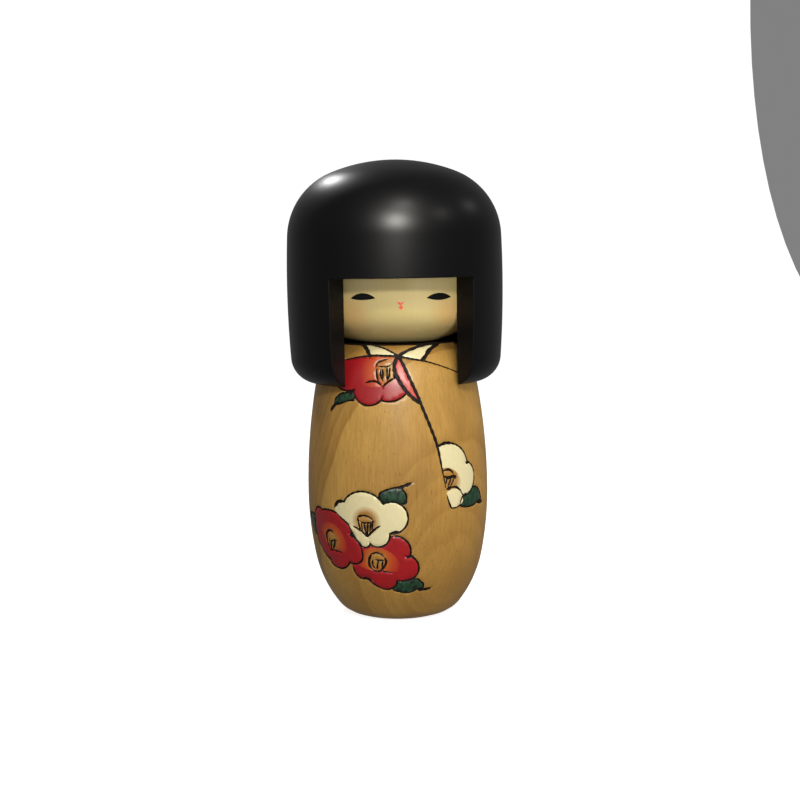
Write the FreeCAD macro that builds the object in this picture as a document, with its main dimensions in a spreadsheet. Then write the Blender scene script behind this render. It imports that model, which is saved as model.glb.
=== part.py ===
import FreeCAD, Part
import math
import os
import Sketcher

# Kokeshi doll: a turned body and, turning on a peg above it, a head glued inside a thick
# bobbed hair cap. Millimetres, +Z up. The origin is the centre of the flat base, and the
# face looks along -Y. Every piece but the hair cap's window is turned about the Z axis.

SIZES = {
    # body
    "body_height": 100.0,     # flat top that the head turns on
    "base_radius": 19.0,      # corner of the flat base, before it is rounded
    "foot_round": 11.0,
    "knee_height": 22.0,      # where the lower curve tightens
    "knee_tuck": 2.3,         # how far the knee is inside the belly
    "belly_height": 45.6,     # widest place
    "belly_swell": 3.65,      # belly beyond the shoulder
    "rim_radius": 20.8,       # edge of the flat top
    # head
    "head_height": 47.4,      # above its seat
    "seat_radius": 16.0,      # flat under the chin
    "cheek_rise": 11.9,       # widest place above the seat
    "cheek_round": 8.0,
    "crown_round": 10.0,
    # hair cap
    "bore_radius": 30.8,
    "hair_wall": 8.3,
    "hem_drop": 14.7,         # hem below the head's seat
    "hem_round": 9.5,
    "side_rise": 20.4,        # widest place above the head's seat
    "side_arc": 390.0,
    "shoulder_arc": 25.5,
    "crown_arc": 61.0,
    "crown_wall": 17.4,
    "window_rise": 23.1,      # fringe edge above the head's seat
    "window_half_angle": 39.6,
    # neck peg
    "peg_radius": 5.0,
    "peg_in_body": 12.0,
    "peg_in_head": 12.0,
    "peg_chamfer": 0.8,
    # fits
    "turn_gap": 0.1,          # body top to head seat
    "peg_clearance": 0.05,    # radial, where the peg turns in the body
    "peg_end_gap": 1.0,       # below the peg in the body, above it in the head
    "glue_gap": 0.1,          # head in cap; half as much round the peg in the head
    "hem_clearance": 1.5,     # body inside the hem
}

size = dict(SIZES)
seat = size["body_height"] + size["turn_gap"]
hem = seat - size["hem_drop"]
head_radius = size["bore_radius"] - size["glue_gap"]
head_top = seat + size["head_height"]
ceiling = head_top + size["glue_gap"]
hair_top = ceiling + size["crown_wall"]
hair_radius = size["bore_radius"] + size["hair_wall"]
shoulder_radius = size["bore_radius"] - size["hem_clearance"]
belly_radius = shoulder_radius + size["belly_swell"]

# The same places as expressions on the sheet, for the sketches' dimensions.
SEAT = "(sizes.body_height + sizes.turn_gap)"
HEM = f"({SEAT} - sizes.hem_drop)"
HEAD_RADIUS = "(sizes.bore_radius - sizes.glue_gap)"
HEAD_TOP = f"({SEAT} + sizes.head_height)"
CEILING = f"({HEAD_TOP} + sizes.glue_gap)"
HAIR_TOP = f"({CEILING} + sizes.crown_wall)"
HAIR_RADIUS = "(sizes.bore_radius + sizes.hair_wall)"
SHOULDER_RADIUS = "(sizes.bore_radius - sizes.hem_clearance)"
BELLY_RADIUS = f"({SHOULDER_RADIUS} + sizes.belly_swell)"

START, END, CENTRE = 1, 2, 3
ORIGIN = (-1, 1)
Z_AXIS = -2

doc = FreeCAD.newDocument("kokeshi_doll")

sheet = doc.addObject("Spreadsheet::Sheet", "sizes")
for row, (alias, value) in enumerate(SIZES.items(), start=1):
    sheet.set(f"A{row}", alias)
    sheet.set(f"B{row}", str(value))
    sheet.setAlias(f"B{row}", alias)
doc.recompute()


# ---- sketches ---------------------------------------------------------------------------


def new_body(name):
    body = doc.addObject("PartDesign::Body", name)
    body.Label = name
    body.Placement = FreeCAD.Placement()
    return body


def new_sketch(body, name, role):
    """A sketch on one of the body's own origin planes."""
    sketch = body.newObject("Sketcher::SketchObject", name)
    plane = [feature for feature in body.Origin.OriginFeatures if feature.Role == role][0]
    sketch.AttachmentSupport = [(plane, "")]
    sketch.MapMode = "FlatFace"
    return sketch


def point(x, y):
    return FreeCAD.Vector(x, y, 0)


def line(sketch, start, end):
    return sketch.addGeometry(Part.LineSegment(point(*start), point(*end)), False)


def arc(sketch, centre, start, end):
    """An arc drawn anticlockwise from start to end."""
    radius = math.dist(centre, start)
    first = math.atan2(start[1] - centre[1], start[0] - centre[0])
    last = math.atan2(end[1] - centre[1], end[0] - centre[0])
    circle = Part.Circle(point(*centre), FreeCAD.Vector(0, 0, 1), radius)
    return sketch.addGeometry(Part.ArcOfCircle(circle, first, last), False)


def join(sketch, kind, first, second):
    sketch.addConstraint(Sketcher.Constraint(kind, *first, *second))


def on_axis(sketch, place):
    sketch.addConstraint(Sketcher.Constraint("PointOnObject", *place, Z_AXIS))


def fix(sketch, kind, places, value, expression):
    """A dimension that follows the sheet."""
    flat = [number for place in places for number in place]
    index = sketch.addConstraint(Sketcher.Constraint(kind, *flat, value))
    sketch.setExpression(f"Constraints[{index}]", expression)


def fix_point(sketch, place, x, y):
    """Put a point at x and y, each given as its value and its expression."""
    fix(sketch, "DistanceX", [ORIGIN, place], *x)
    fix(sketch, "DistanceY", [ORIGIN, place], *y)


def level(sketch, *lines):
    for edge in lines:
        sketch.addConstraint(Sketcher.Constraint("Horizontal", edge))


def upright(sketch, *lines):
    for edge in lines:
        sketch.addConstraint(Sketcher.Constraint("Vertical", edge))


def revolve(body, sketch):
    turned = body.newObject("PartDesign::Revolution", f"{body.Name}_turned")
    turned.Profile = sketch
    turned.ReferenceAxis = (sketch, ["V_Axis"])
    turned.Angle = 360
    sketch.Visibility = False
    return turned


def named(alias):
    """A sheet value and the expression that reads it."""
    return size[alias], f"sizes.{alias}"


# ---- where curves meet ------------------------------------------------------------------


def centre_after(previous, joint, end):
    """Centre of the arc that leaves the last one smoothly at the joint and reaches end."""
    across = (joint[0] - previous[0], joint[1] - previous[1])
    length = math.hypot(*across)
    normal = (across[0] / length, across[1] / length)
    step = (end[0] - joint[0], end[1] - joint[1])
    radius = -(step[0] ** 2 + step[1] ** 2) / (2 * (step[0] * normal[0] + step[1] * normal[1]))
    return (joint[0] - radius * normal[0], joint[1] - radius * normal[1])


def centre_level_with(widest, end):
    """Centre of the arc that is upright at its widest point and reaches end."""
    inward = widest[0] - end[0]
    radius = (inward ** 2 + (end[1] - widest[1]) ** 2) / (2 * inward)
    return (widest[0] - radius, widest[1])


def chin_rise(seat_radius, cheek_x, cheek_rise, cheek_round):
    """Height above the seat of the centre of the chin's arc. The centre is on the axis, and
    the arc starts at the seat's edge and ends touching the cheek's arc."""
    squares = cheek_rise ** 2 - cheek_round ** 2
    middle = (cheek_x ** 2 + squares - seat_radius ** 2) / (2 * cheek_rise)
    root = math.sqrt((cheek_rise * middle) ** 2 + seat_radius ** 2 * squares)
    return (cheek_rise ** 2 * middle + cheek_round * root) / squares


def meeting(first, first_reach, second, second_reach):
    """Where two circles cross, on the left going from the first centre to the second."""
    apart = math.dist(first, second)
    along = (first_reach ** 2 - second_reach ** 2 + apart ** 2) / (2 * apart)
    across = math.sqrt(first_reach ** 2 - along ** 2)
    ahead = ((second[0] - first[0]) / apart, (second[1] - first[1]) / apart)
    return (first[0] + along * ahead[0] - across * ahead[1],
            first[1] + along * ahead[1] + across * ahead[0])


def touch_point(outer_centre, inner_centre, outer_radius):
    """Where a circle touches a larger one from inside."""
    reach = math.dist(outer_centre, inner_centre)
    scale = outer_radius / reach
    return (outer_centre[0] + (inner_centre[0] - outer_centre[0]) * scale,
            outer_centre[1] + (inner_centre[1] - outer_centre[1]) * scale)


# ---- body -------------------------------------------------------------------------------


def make_body():
    body = new_body("body")
    sketch = new_sketch(body, "body_profile", "XZ_Plane")

    base = (size["base_radius"], 0)
    knee = (belly_radius - size["knee_tuck"], size["knee_height"])
    belly = (belly_radius, size["belly_height"])
    shoulder = (shoulder_radius, hem)
    rim = (size["rim_radius"], size["body_height"])
    bore = size["peg_radius"] + size["peg_clearance"]
    floor = size["body_height"] - size["peg_in_body"] - size["peg_end_gap"]

    low_centre = centre_level_with(belly, knee)
    foot_centre = centre_after(low_centre, knee, base)
    high_centre = centre_level_with(belly, shoulder)
    top_centre = centre_after(high_centre, shoulder, rim)

    base_line = line(sketch, (0, 0), base)
    foot = arc(sketch, foot_centre, base, knee)
    low = arc(sketch, low_centre, knee, belly)
    high = arc(sketch, high_centre, belly, shoulder)
    top = arc(sketch, top_centre, shoulder, rim)
    top_line = line(sketch, rim, (bore, rim[1]))
    bore_line = line(sketch, (bore, rim[1]), (bore, floor))
    floor_line = line(sketch, (bore, floor), (0, floor))
    axis_line = line(sketch, (0, floor), (0, 0))

    join(sketch, "Coincident", (base_line, START), ORIGIN)
    join(sketch, "Coincident", (base_line, END), (foot, START))
    join(sketch, "Tangent", (foot, END), (low, START))
    join(sketch, "Tangent", (low, END), (high, START))
    join(sketch, "Tangent", (high, END), (top, START))
    join(sketch, "Coincident", (top, END), (top_line, START))
    join(sketch, "Coincident", (top_line, END), (bore_line, START))
    join(sketch, "Coincident", (bore_line, END), (floor_line, START))
    join(sketch, "Coincident", (floor_line, END), (axis_line, START))
    join(sketch, "Coincident", (axis_line, END), ORIGIN)
    join(sketch, "Horizontal", (low, CENTRE), (low, END))
    level(sketch, base_line, top_line, floor_line)
    upright(sketch, bore_line, axis_line)

    fix(sketch, "DistanceX", [ORIGIN, (base_line, END)], *named("base_radius"))
    fix_point(sketch, (foot, END),
              (knee[0], f"{BELLY_RADIUS} - sizes.knee_tuck"), named("knee_height"))
    fix_point(sketch, (low, END), (belly[0], BELLY_RADIUS), named("belly_height"))
    fix_point(sketch, (high, END), (shoulder[0], SHOULDER_RADIUS), (hem, HEM))
    fix_point(sketch, (top, END), named("rim_radius"), named("body_height"))
    fix_point(sketch, (bore_line, END),
              (bore, "sizes.peg_radius + sizes.peg_clearance"),
              (floor, "sizes.body_height - sizes.peg_in_body - sizes.peg_end_gap"))
    turned = revolve(body, sketch)
    doc.recompute()

    corner = [index for index, edge in enumerate(turned.Shape.Edges, start=1)
              if edge.BoundBox.ZMax < 0.01 and abs(edge.Curve.Radius - base[0]) < 0.01]
    rounded = body.newObject("PartDesign::Fillet", "foot_rounding")
    rounded.Base = (turned, [f"Edge{index}" for index in corner])
    rounded.setExpression("Radius", "sizes.foot_round")
    return body


# ---- head -------------------------------------------------------------------------------


def make_head():
    body = new_body("head")
    sketch = new_sketch(body, "head_profile", "XZ_Plane")

    cheek_round = size["cheek_round"]
    crown_round = size["crown_round"]
    widest = (head_radius, seat + size["cheek_rise"])
    cheek_centre = (head_radius - cheek_round, widest[1])
    seat_edge = (size["seat_radius"], seat)
    rise = chin_rise(seat_edge[0], cheek_centre[0], size["cheek_rise"], cheek_round)
    chin_centre = (0, seat + rise)
    chin_end = touch_point(chin_centre, cheek_centre, math.dist(chin_centre, seat_edge))
    bore = size["peg_radius"] + size["glue_gap"] / 2
    bore_top = seat + size["peg_in_head"] + size["peg_end_gap"]
    crown_side = (head_radius, head_top - crown_round)
    crown_top = (head_radius - crown_round, head_top)

    seat_line = line(sketch, (bore, seat), seat_edge)
    chin = arc(sketch, chin_centre, seat_edge, chin_end)
    cheek = arc(sketch, cheek_centre, chin_end, widest)
    side_line = line(sketch, widest, crown_side)
    crown = arc(sketch, (crown_top[0], crown_side[1]), crown_side, crown_top)
    top_line = line(sketch, crown_top, (0, head_top))
    axis_line = line(sketch, (0, head_top), (0, bore_top))
    bore_top_line = line(sketch, (0, bore_top), (bore, bore_top))
    bore_line = line(sketch, (bore, bore_top), (bore, seat))

    join(sketch, "Coincident", (seat_line, END), (chin, START))
    join(sketch, "Tangent", (chin, END), (cheek, START))
    join(sketch, "Tangent", (cheek, END), (side_line, START))
    join(sketch, "Tangent", (side_line, END), (crown, START))
    join(sketch, "Tangent", (crown, END), (top_line, START))
    join(sketch, "Coincident", (top_line, END), (axis_line, START))
    join(sketch, "Coincident", (axis_line, END), (bore_top_line, START))
    join(sketch, "Coincident", (bore_top_line, END), (bore_line, START))
    join(sketch, "Coincident", (bore_line, END), (seat_line, START))
    on_axis(sketch, (chin, CENTRE))
    on_axis(sketch, (top_line, END))
    level(sketch, seat_line, top_line, bore_top_line)
    upright(sketch, side_line, axis_line, bore_line)

    fix(sketch, "DistanceX", [ORIGIN, (chin, START)], *named("seat_radius"))
    fix(sketch, "Radius", [(cheek,)], *named("cheek_round"))
    fix(sketch, "Radius", [(crown,)], *named("crown_round"))
    fix_point(sketch, (cheek, END),
              (head_radius, HEAD_RADIUS), (widest[1], f"{SEAT} + sizes.cheek_rise"))
    fix(sketch, "DistanceY", [ORIGIN, (top_line, END)], head_top, HEAD_TOP)
    fix_point(sketch, (bore_line, START),
              (bore, "sizes.peg_radius + sizes.glue_gap / 2"),
              (bore_top, f"{SEAT} + sizes.peg_in_head + sizes.peg_end_gap"))
    fix(sketch, "DistanceY", [ORIGIN, (seat_line, START)], seat, SEAT)
    revolve(body, sketch)
    return body


# ---- hair cap ---------------------------------------------------------------------------


def hair_centres():
    """Centres of the crown, shoulder, side and hem arcs of the hair cap's outside."""
    crown = (0, hair_top - size["crown_arc"])
    side = (hair_radius - size["side_arc"], seat + size["side_rise"])
    # The shoulder and hem circles touch the side's from inside. The shoulder's touches the
    # crown's too, and the hem's starts at the bore's edge.
    shoulder = meeting(side, size["side_arc"] - size["shoulder_arc"],
                       crown, size["crown_arc"] - size["shoulder_arc"])
    hem_centre = meeting(side, size["side_arc"] - size["hem_round"],
                         (size["bore_radius"], hem), size["hem_round"])
    return crown, shoulder, side, hem_centre


def make_hair_cap():
    body = new_body("hair_cap")
    sketch = new_sketch(body, "hair_profile", "XZ_Plane")

    crown_centre, shoulder_centre, side_centre, hem_centre = hair_centres()
    bore = size["bore_radius"]
    crown_round = size["crown_round"]
    hem_edge = (bore, hem)
    side_low = touch_point(side_centre, hem_centre, size["side_arc"])
    side_high = touch_point(side_centre, shoulder_centre, size["side_arc"])
    crown_edge = touch_point(crown_centre, shoulder_centre, size["crown_arc"])
    bore_side = (bore, ceiling - crown_round)
    bore_top = (bore - crown_round, ceiling)

    hem_arc = arc(sketch, hem_centre, hem_edge, side_low)
    side = arc(sketch, side_centre, side_low, side_high)
    shoulder = arc(sketch, shoulder_centre, side_high, crown_edge)
    crown = arc(sketch, crown_centre, crown_edge, (0, hair_top))
    axis_line = line(sketch, (0, hair_top), (0, ceiling))
    ceiling_line = line(sketch, (0, ceiling), bore_top)
    corner = arc(sketch, (bore_top[0], bore_side[1]), bore_side, bore_top)
    bore_line = line(sketch, bore_side, hem_edge)

    join(sketch, "Tangent", (hem_arc, END), (side, START))
    join(sketch, "Tangent", (side, END), (shoulder, START))
    join(sketch, "Tangent", (shoulder, END), (crown, START))
    join(sketch, "Coincident", (crown, END), (axis_line, START))
    join(sketch, "Coincident", (axis_line, END), (ceiling_line, START))
    join(sketch, "Tangent", (ceiling_line, END), (corner, END))
    join(sketch, "Tangent", (corner, START), (bore_line, START))
    join(sketch, "Coincident", (bore_line, END), (hem_arc, START))
    on_axis(sketch, (crown, CENTRE))
    on_axis(sketch, (crown, END))
    upright(sketch, axis_line, bore_line)
    level(sketch, ceiling_line)

    fix(sketch, "Radius", [(hem_arc,)], *named("hem_round"))
    fix(sketch, "Radius", [(side,)], *named("side_arc"))
    fix(sketch, "Radius", [(shoulder,)], *named("shoulder_arc"))
    fix(sketch, "Radius", [(crown,)], *named("crown_arc"))
    fix(sketch, "Radius", [(corner,)], *named("crown_round"))
    fix_point(sketch, (side, CENTRE),
              (side_centre[0], f"{HAIR_RADIUS} - sizes.side_arc"),
              (side_centre[1], f"{SEAT} + sizes.side_rise"))
    fix_point(sketch, (hem_arc, START), named("bore_radius"), (hem, HEM))
    fix(sketch, "DistanceY", [ORIGIN, (crown, END)], hair_top, HAIR_TOP)
    fix(sketch, "DistanceY", [ORIGIN, (axis_line, END)], ceiling, CEILING)
    revolve(body, sketch)

    cut_window(body)
    return body


def cut_window(body):
    """The wedge between two upright planes through the axis, from the hem to the fringe."""
    sketch = new_sketch(body, "window_plan", "XY_Plane")
    reach = hair_radius * 1.2
    half_width = reach * math.tan(math.radians(size["window_half_angle"]))
    right = line(sketch, (0, 0), (half_width, -reach))
    front = line(sketch, (half_width, -reach), (-half_width, -reach))
    left = line(sketch, (-half_width, -reach), (0, 0))
    join(sketch, "Coincident", (right, START), ORIGIN)
    join(sketch, "Coincident", (right, END), (front, START))
    join(sketch, "Coincident", (front, END), (left, START))
    join(sketch, "Coincident", (left, END), ORIGIN)
    level(sketch, front)
    sketch.addConstraint(Sketcher.Constraint("Equal", right, left))
    fix(sketch, "DistanceY", [(right, END), ORIGIN], reach, f"{HAIR_RADIUS} * 1.2")
    fix(sketch, "DistanceX", [(front, END), (front, START)], half_width * 2,
        f"2 * {HAIR_RADIUS} * 1.2 * tan(sizes.window_half_angle * 1 deg)")

    window = body.newObject("PartDesign::Pocket", "face_window")
    window.Profile = sketch
    window.Reversed = True
    window.setExpression("Length", f"{SEAT} + sizes.window_rise")
    sketch.Visibility = False


# ---- neck peg ---------------------------------------------------------------------------


def make_neck_peg():
    body = new_body("neck_peg")
    sketch = new_sketch(body, "peg_plan", "XY_Plane")
    circle = Part.Circle(point(0, 0), FreeCAD.Vector(0, 0, 1), size["peg_radius"])
    ring = sketch.addGeometry(circle, False)
    join(sketch, "Coincident", (ring, CENTRE), ORIGIN)
    fix(sketch, "Radius", [(ring,)], *named("peg_radius"))
    sketch.setExpression("AttachmentOffset.Base.z", "sizes.body_height - sizes.peg_in_body")

    dowel = body.newObject("PartDesign::Pad", "dowel")
    dowel.Profile = sketch
    dowel.setExpression("Length", "sizes.peg_in_body + sizes.turn_gap + sizes.peg_in_head")
    sketch.Visibility = False
    doc.recompute()

    ends = [f"Edge{index}" for index, edge in enumerate(dowel.Shape.Edges, start=1)
            if edge.Curve.TypeId == "Part::GeomCircle"]
    eased = body.newObject("PartDesign::Chamfer", "eased_ends")
    eased.Base = (dowel, ends)
    eased.setExpression("Size", "sizes.peg_chamfer")
    return body


# ---- check and write --------------------------------------------------------------------

pieces = [make_body(), make_head(), make_hair_cap(), make_neck_peg()]
doc.recompute()

for item in doc.Objects:
    if "Invalid" in item.State or "Error" in item.State:
        raise RuntimeError(f"{item.Name} did not build: {item.State}")

os.makedirs("parts", exist_ok=True)
for piece in pieces:
    if piece.Shape.isNull() or not piece.Shape.isValid():
        raise RuntimeError(f"{piece.Label} has no valid shape")
    piece.Shape.exportStep(f"parts/{piece.Label}.step")
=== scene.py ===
import bisect
import math

import bmesh
import bpy
from mathutils import Matrix, Vector, geometry, kdtree


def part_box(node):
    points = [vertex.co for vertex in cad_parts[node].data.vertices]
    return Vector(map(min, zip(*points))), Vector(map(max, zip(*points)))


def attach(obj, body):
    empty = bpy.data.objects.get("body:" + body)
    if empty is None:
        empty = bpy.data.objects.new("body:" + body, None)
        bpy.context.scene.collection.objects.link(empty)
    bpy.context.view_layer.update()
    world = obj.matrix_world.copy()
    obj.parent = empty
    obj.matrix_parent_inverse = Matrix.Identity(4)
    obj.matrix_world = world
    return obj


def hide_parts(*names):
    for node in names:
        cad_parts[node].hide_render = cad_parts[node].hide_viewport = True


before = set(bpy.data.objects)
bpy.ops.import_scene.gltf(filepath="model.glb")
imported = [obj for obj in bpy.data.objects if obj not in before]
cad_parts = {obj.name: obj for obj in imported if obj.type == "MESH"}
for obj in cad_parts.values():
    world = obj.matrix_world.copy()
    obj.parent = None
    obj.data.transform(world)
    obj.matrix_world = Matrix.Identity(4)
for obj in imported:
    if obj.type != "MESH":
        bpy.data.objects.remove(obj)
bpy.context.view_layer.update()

# Kokeshi doll: a turned body, a head in a bobbed hair cap and a neck peg. The painted and
# burnt decoration is cut into the meshes of the body and the head. Lengths are in
# millimetres up to the point where a mesh is made. Angles go round the doll from the front,
# positive towards +X, and are in degrees in the decoration's own lists.

MM = 0.001

# ---- sizes, as the CAD has them ----

BODY_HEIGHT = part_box("body")[1].z / MM
BASE_RADIUS = 19.0
FOOT_ROUND = 11.0
KNEE = (30.65, 22.0)
BELLY = (32.95, 45.6)
SHOULDER = (29.3, 85.4)
RIM = (20.8, BODY_HEIGHT)
PEG_HOLE = 5.05
PEG_DEPTH = 13.0

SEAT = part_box("head")[0].z / MM
HEAD_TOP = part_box("head")[1].z / MM
HEAD_RADIUS = 30.7
SEAT_RADIUS = 16.0
CHEEK_HEIGHT = SEAT + 11.9
CHEEK_ROUND = 8.0
CROWN_ROUND = 10.0

HAIR_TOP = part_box("hair_cap")[1].z / MM
HAIR_RADIUS = 39.1
BORE_RADIUS = 30.8
BORE_TOP = HEAD_TOP + 0.1
HEM = 85.4
HEM_ROUND = 9.5
SIDE_HEIGHT = SEAT + 20.4
SIDE_ARC = 390.0
SHOULDER_ARC = 25.5
CROWN_ARC = 61.0
WINDOW_TOP = SEAT + 23.1
WINDOW_HALF = math.radians(39.6)
EDGE_ROUND = 0.3

# The body's wood: where the pith stood, how fast the rings run out up the doll, after how many
# millimetres of growth their pattern comes again, and how far they stray, slowly and quickly.
PITH = (-24.0, 30.0)
RING_SLOPE = 0.3
RING_PERIOD = 42.0
RING_WANDER = 9.0
RING_WOBBLE = 1.3
# Where each growth ring ends within a period, and how dark it is there, 0 to 1. A wide plain
# band follows the last.
RING_EDGES = ((10.5, 0.36), (13.6, 0.56), (17.8, 0.5), (20.3, 0.46), (22.8, 0.56), (25.2, 0.5),
              (28.1, 0.58), (31.2, 0.52), (34.2, 0.62), (37.6, 0.6))
PLAIN_WOOD = 0.16
EARLY_WOOD = 0.36

# The decoration: how deep lines are burnt, how thick paint lies, how wide the lines are.
GROOVE_DEPTH = 0.28
PAINT_RISE = 0.07
OUTLINE_WIDTH = 0.7
LEAF_LINE_WIDTH = 0.65
WIDEST_HALF_LINE = 1.1
TIP_WIDTH = 0.25
UNEVEN = 0.14
UNEVEN_TURN = 0.665

# The meshes of turned pieces: steps round them, and the step up their back seam.
AROUND = 240
SEAM_STEP = 2.0


# ---- outlines of turned pieces ----


def arc_points(centre, start, end, step=0.3):
    """Points along an arc from start to end, the short way round."""
    radius = math.dist(centre, start)
    first = math.atan2(start[1] - centre[1], start[0] - centre[0])
    last = math.atan2(end[1] - centre[1], end[0] - centre[0])
    turn = (last - first + math.pi) % math.tau - math.pi
    count = max(2, math.ceil(abs(turn) * radius / step))
    return [(centre[0] + radius * math.cos(first + turn * i / count),
             centre[1] + radius * math.sin(first + turn * i / count)) for i in range(count + 1)]


def centre_after(previous, joint, end):
    """Centre of the arc that leaves the last one smoothly at the joint and reaches end."""
    length = math.dist(previous, joint)
    normal = ((joint[0] - previous[0]) / length, (joint[1] - previous[1]) / length)
    step = (end[0] - joint[0], end[1] - joint[1])
    radius = -(step[0] ** 2 + step[1] ** 2) / (2 * (step[0] * normal[0] + step[1] * normal[1]))
    return (joint[0] - radius * normal[0], joint[1] - radius * normal[1])


def centre_level_with(widest, end):
    """Centre of the arc that is upright at its widest point and reaches end."""
    inward = widest[0] - end[0]
    radius = (inward ** 2 + (end[1] - widest[1]) ** 2) / (2 * inward)
    return (widest[0] - radius, widest[1])


def meeting(first, first_reach, second, second_reach):
    """Where two circles cross, on the left going from the first centre to the second."""
    apart = math.dist(first, second)
    along = (first_reach ** 2 - second_reach ** 2 + apart ** 2) / (2 * apart)
    across = math.sqrt(first_reach ** 2 - along ** 2)
    ahead = ((second[0] - first[0]) / apart, (second[1] - first[1]) / apart)
    return (first[0] + along * ahead[0] - across * ahead[1],
            first[1] + along * ahead[1] + across * ahead[0])


def touch_point(outer_centre, inner_centre, outer_radius):
    """Where a circle touches a larger one from inside."""
    scale = outer_radius / math.dist(outer_centre, inner_centre)
    return (outer_centre[0] + (inner_centre[0] - outer_centre[0]) * scale,
            outer_centre[1] + (inner_centre[1] - outer_centre[1]) * scale)


def body_outline():
    """From the edge of the flat base to the rim of the flat top."""
    low_centre = centre_level_with(BELLY, KNEE)
    foot_centre = centre_after(low_centre, KNEE, (BASE_RADIUS, 0))
    high_centre = centre_level_with(BELLY, SHOULDER)
    top_centre = centre_after(high_centre, SHOULDER, RIM)
    reach = math.dist(foot_centre, KNEE)
    drop = foot_centre[1] - FOOT_ROUND
    round_centre = (foot_centre[0] + math.sqrt((reach - FOOT_ROUND) ** 2 - drop ** 2), FOOT_ROUND)
    foot_edge = touch_point(foot_centre, round_centre, reach)
    points = arc_points(round_centre, (round_centre[0], 0), foot_edge)
    points += arc_points(foot_centre, foot_edge, KNEE)[1:]
    points += arc_points(low_centre, KNEE, BELLY)[1:]
    points += arc_points(high_centre, BELLY, SHOULDER)[1:]
    points += arc_points(top_centre, SHOULDER, RIM)[1:]
    return points


def head_outline():
    """From the edge of the seat under the chin to the edge of the flat crown."""
    cheek_x = HEAD_RADIUS - CHEEK_ROUND
    rise = CHEEK_HEIGHT - SEAT
    squares = rise ** 2 - CHEEK_ROUND ** 2
    middle = (cheek_x ** 2 + squares - SEAT_RADIUS ** 2) / (2 * rise)
    root = math.sqrt((rise * middle) ** 2 + SEAT_RADIUS ** 2 * squares)
    chin_centre = (0, SEAT + (rise ** 2 * middle + CHEEK_ROUND * root) / squares)
    chin_start = (SEAT_RADIUS, SEAT)
    chin_end = touch_point(chin_centre, (cheek_x, CHEEK_HEIGHT), math.dist(chin_centre, chin_start))
    crown_low = HEAD_TOP - CROWN_ROUND
    points = arc_points(chin_centre, chin_start, chin_end)
    points += arc_points((cheek_x, CHEEK_HEIGHT), chin_end, (HEAD_RADIUS, CHEEK_HEIGHT))[1:]
    points += arc_points((HEAD_RADIUS - CROWN_ROUND, crown_low), (HEAD_RADIUS, crown_low),
                         (HEAD_RADIUS - CROWN_ROUND, HEAD_TOP))
    return points


class Outline:
    """A turned outline that can be read by the distance along it from its foot."""

    def __init__(self, points):
        self.points = points
        self.lengths = [0.0]
        for first, second in zip(points, points[1:]):
            self.lengths.append(self.lengths[-1] + math.dist(first, second))
        self.heights = [point[1] for point in points]
        self.total = self.lengths[-1]
        self.wide = max(point[0] for point in points)

    def at(self, length):
        """Radius and height at that distance."""
        index = min(max(bisect.bisect_right(self.lengths, length), 1), len(self.points) - 1)
        low = self.lengths[index - 1]
        part = (length - low) / (self.lengths[index] - low)
        first, second = self.points[index - 1], self.points[index]
        return (first[0] + (second[0] - first[0]) * part, first[1] + (second[1] - first[1]) * part)

    def length_at(self, height):
        """The distance along the outline to that height."""
        index = min(max(bisect.bisect_right(self.heights, height), 1), len(self.points) - 1)
        low, high = self.heights[index - 1], self.heights[index]
        part = (height - low) / (high - low)
        return self.lengths[index - 1] + (self.lengths[index] - self.lengths[index - 1]) * part

    def squeeze(self, length):
        """How much narrower the piece is there than at its widest."""
        return self.at(length)[0] / self.wide

    def flat(self, degrees, height):
        """A place on the piece as a point of its unrolled surface."""
        return (math.radians(degrees) * self.wide, self.length_at(height))

    def solid(self, across, length, rise):
        """A point of the unrolled surface back in space, raised above the wood by rise."""
        radius, height = self.at(length)
        before, after = self.at(max(length - 0.2, 0)), self.at(min(length + 0.2, self.total))
        run = math.dist(before, after)
        radius += rise * (after[1] - before[1]) / run
        height -= rise * (after[0] - before[0]) / run
        angle = across / self.wide
        return Vector((radius * math.sin(angle), -radius * math.cos(angle), height))


# ---- drawn lines and shapes ----


def smooth_path(points, step=0.35):
    """A soft curve through the points, as evenly spaced points."""
    padded = [points[0], *points, points[-1]]
    path = []
    for before, first, second, after in zip(padded, padded[1:], padded[2:], padded[3:]):
        count = max(1, math.ceil(math.dist(first, second) / step))
        for i in range(count):
            t = i / count
            path.append(tuple(
                0.5 * (2 * b + (c - a) * t + (2 * a - 5 * b + 4 * c - d) * t ** 2
                       + (3 * b - a - 3 * c + d) * t ** 3)
                for a, b, c, d in zip(before, first, second, after)))
    return path + [tuple(points[-1])]


def bulging_path(corners, step=0.4):
    """A closed path of round stretches. Each corner is (across, up, bulge): how far the stretch
    from it to the next corner stands out to the left of the way it goes."""
    path = []
    for (x, y, bulge), (next_x, next_y, _) in zip(corners, corners[1:] + corners[:1]):
        chord = math.dist((x, y), (next_x, next_y))
        ahead = ((next_x - x) / chord, (next_y - y) / chord)
        left = (-ahead[1], ahead[0])
        count = max(2, math.ceil((chord + 2 * abs(bulge)) / step))
        for i in range(count):
            if abs(bulge) < 0.01:
                path.append((x + (next_x - x) * i / count, y + (next_y - y) * i / count))
                continue
            radius = (chord ** 2 / 4 + bulge ** 2) / (2 * bulge)
            half = 2 * math.atan(2 * bulge / chord)
            angle = half * (2 * i / count - 1)
            forward = chord / 2 + radius * math.sin(angle)
            outward = bulge - radius + radius * math.cos(angle)
            path.append((x + forward * ahead[0] + outward * left[0],
                         y + forward * ahead[1] + outward * left[1]))
    return path


def inside(polygon, x, y):
    """Whether a point is inside a closed shape."""
    hit = False
    for (ax, ay), (bx, by) in zip(polygon, polygon[1:] + polygon[:1]):
        if (ay > y) != (by > y) and x < (bx - ax) * (y - ay) / (by - ay) + ax:
            hit = not hit
    return hit


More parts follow.
